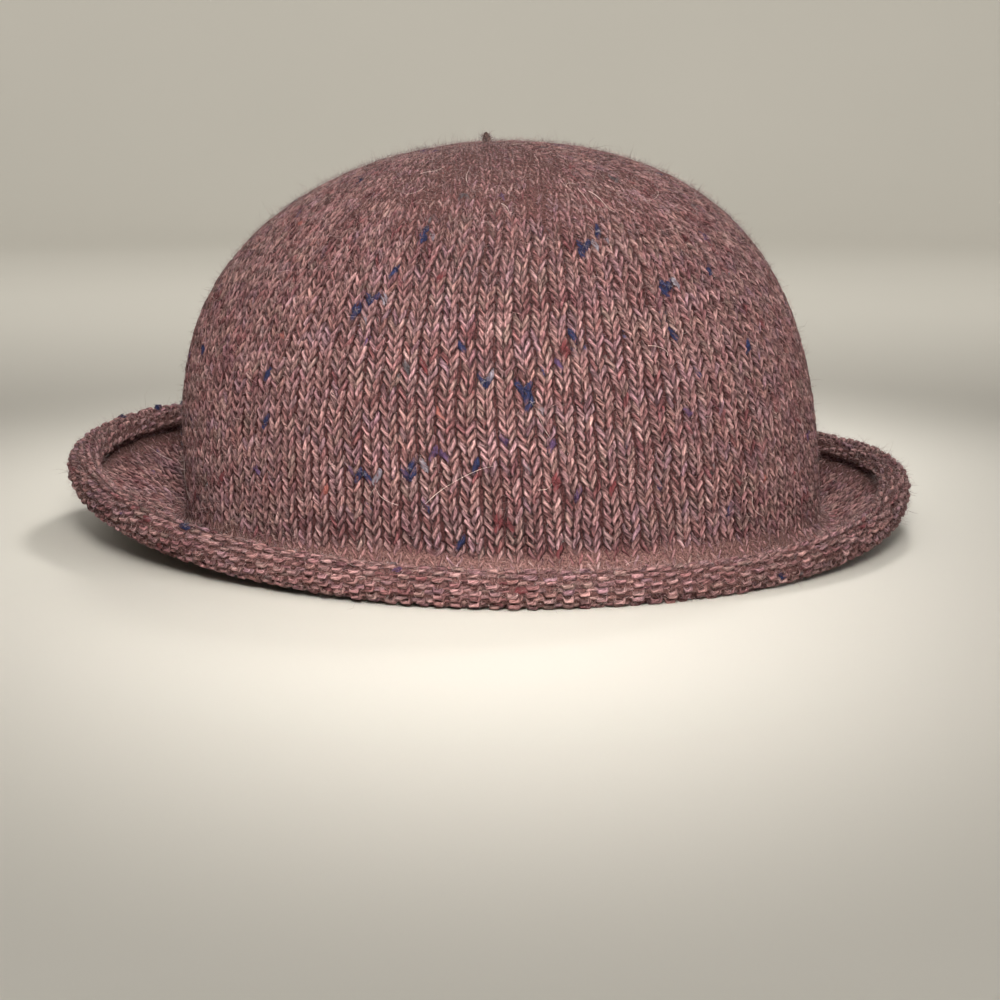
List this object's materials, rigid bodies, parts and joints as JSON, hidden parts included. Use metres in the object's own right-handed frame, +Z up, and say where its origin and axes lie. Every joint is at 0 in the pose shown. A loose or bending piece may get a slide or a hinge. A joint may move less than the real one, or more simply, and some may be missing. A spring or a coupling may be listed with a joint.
{
  "type": "knit cloche hat",
  "caption": "Soft knitted wool cloche hat with a domed crown and a short flared brim whose edge curls up into a thin roll, resting on its brim.",
  "frame": {"origin": "on the surface that the hat rests on, at the middle of the hat's width and depth", "axes": "+Z up through the crown, front of the hat towards -Y, +X across the hat to the right as seen from the front"},
  "size_m": [0.2486, 0.2372, 0.1159],
  "materials": {
    "tweed_knit": "lightly felted dusty rose tweed wool, knitted in stockinette with small blue and maroon flecks",
    "tweed_yarn": "twisted dusty rose tweed wool yarn with a fuzzy surface"
  },
  "bodies": {
    "root": {"knit_shell": "tweed_knit", "yarn_stub": "tweed_yarn"}
  },
  "joints": []
}
